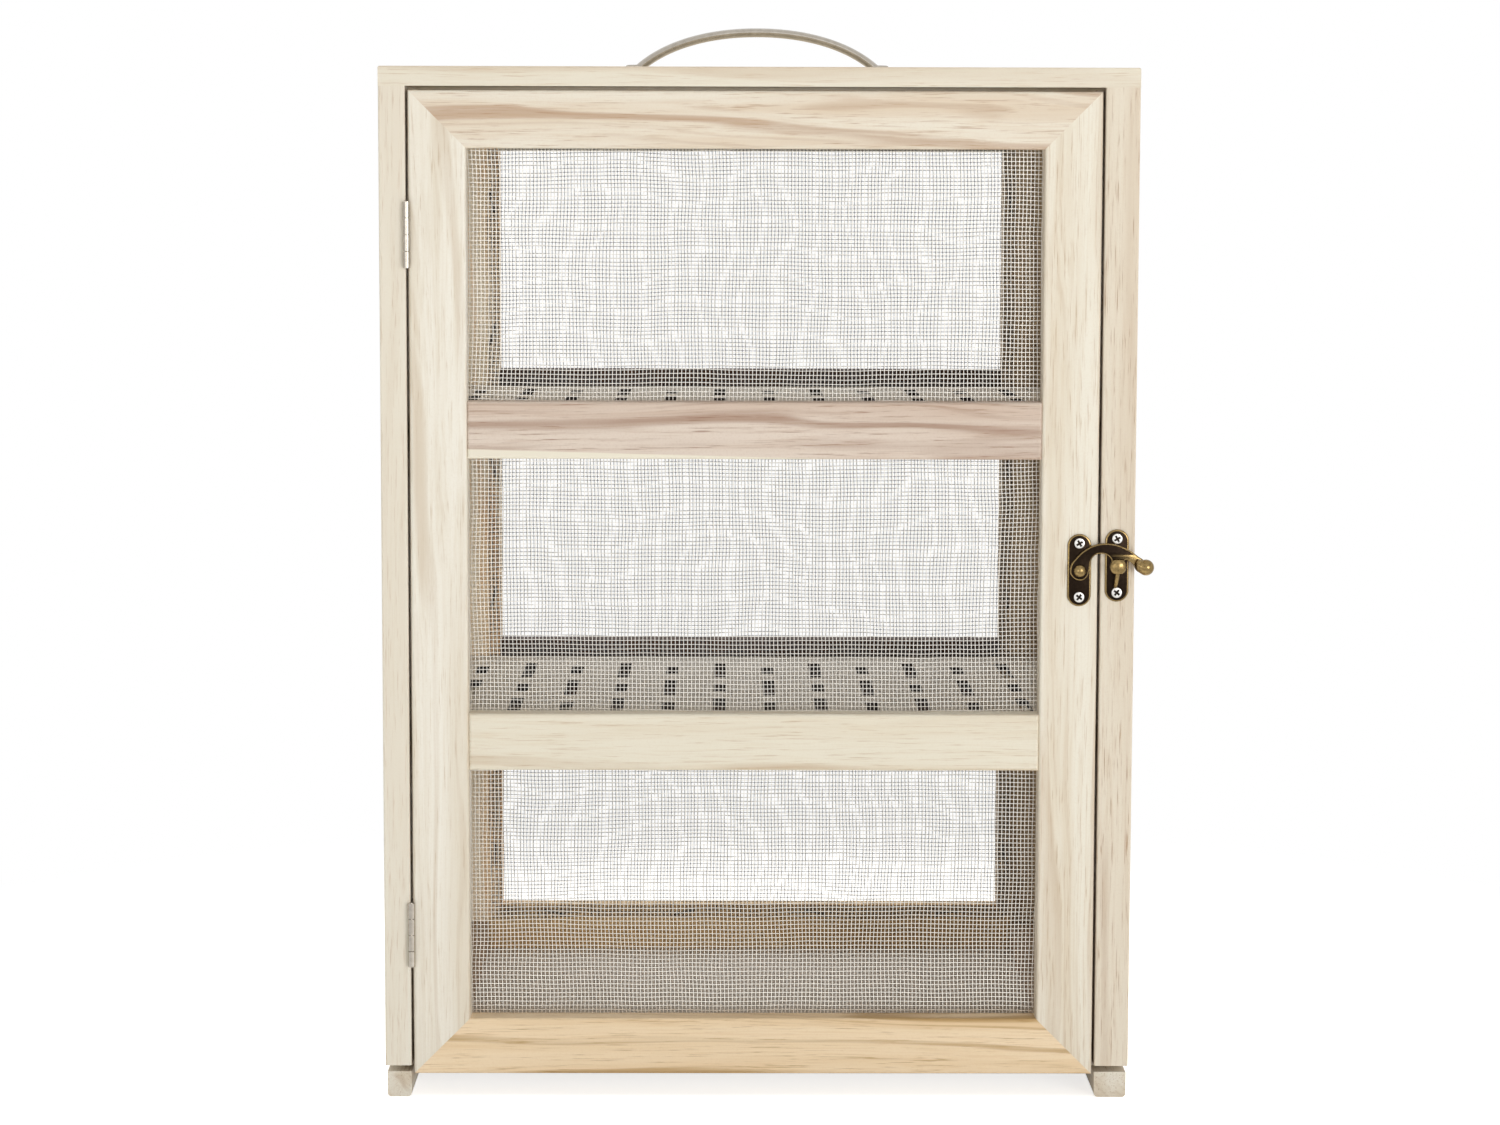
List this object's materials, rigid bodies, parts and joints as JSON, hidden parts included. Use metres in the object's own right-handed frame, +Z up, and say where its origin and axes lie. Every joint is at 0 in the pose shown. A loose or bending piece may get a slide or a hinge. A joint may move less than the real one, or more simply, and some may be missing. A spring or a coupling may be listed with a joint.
{
  "type": "jelly cupboard",
  "caption": "Small pine food cupboard with a wire mesh door and back, slotted shelves, butt hinges, a swing-hook latch and a bow carrying handle.",
  "frame": {"origin": "on the floor under the middle of the footprint, the latch's overhang included", "axes": "+Z up, +X to the right of someone facing the door, -Y out of the door"},
  "size_m": [0.2972, 0.2364, 0.4187],
  "materials": {
    "pine": "planed and unvarnished",
    "hardboard": "smooth matt panel",
    "wire": "bright drawn wire",
    "nickel": "bright nickel plate",
    "screw_steel": "bright zinc",
    "bronze": "antique bronze, worn bright at the edges"
  },
  "bodies": {
    "case": {"top_board": "pine", "side_left": "pine", "side_right": "pine", "runner_left": "pine", "runner_right": "pine", "floor_cleat_left": "pine", "floor_cleat_right": "pine", "lower_cleat_left": "pine", "lower_cleat_right": "pine", "upper_cleat_left": "pine", "upper_cleat_right": "pine", "back_stile_left": "pine", "back_stile_right": "pine", "back_rail_top": "pine", "back_rail_bottom": "pine", "back_rail_lower": "pine", "back_rail_upper": "pine", "floor_panel": "hardboard", "lower_shelf": "hardboard", "upper_shelf": "hardboard", "back_mesh": "wire", "handle": "nickel", "handle_screws": "screw_steel", "hinge_case_leaf_upper": "nickel", "hinge_case_leaf_lower": "nickel", "catch_plate": "bronze", "catch_screws": "screw_steel"},
    "door": {"door_stile_left": "pine", "door_stile_right": "pine", "door_rail_top": "pine", "door_rail_bottom": "pine", "door_rail_lower": "pine", "door_rail_upper": "pine", "door_mesh": "wire", "hinge_door_leaf_upper": "nickel", "hinge_door_leaf_lower": "nickel", "latch_plate": "bronze", "latch_rivet": "bronze", "latch_screws": "screw_steel"},
    "hook": {"latch_hook": "bronze"}
  },
  "joints": [
    {"name": "door_hinge", "type": "hinge", "parent": "case", "child": "door", "pos_m": [-0.13785, -0.1132, 0.19675], "axis": [0, 0, -1], "range_deg": [0, 180]},
    {"name": "hook_swing", "type": "hinge", "parent": "door", "child": "hook", "pos_m": [0.12005, -0.11265, 0.20727], "axis": [0, -1, 0], "range_deg": [0, 100]}
  ]
}
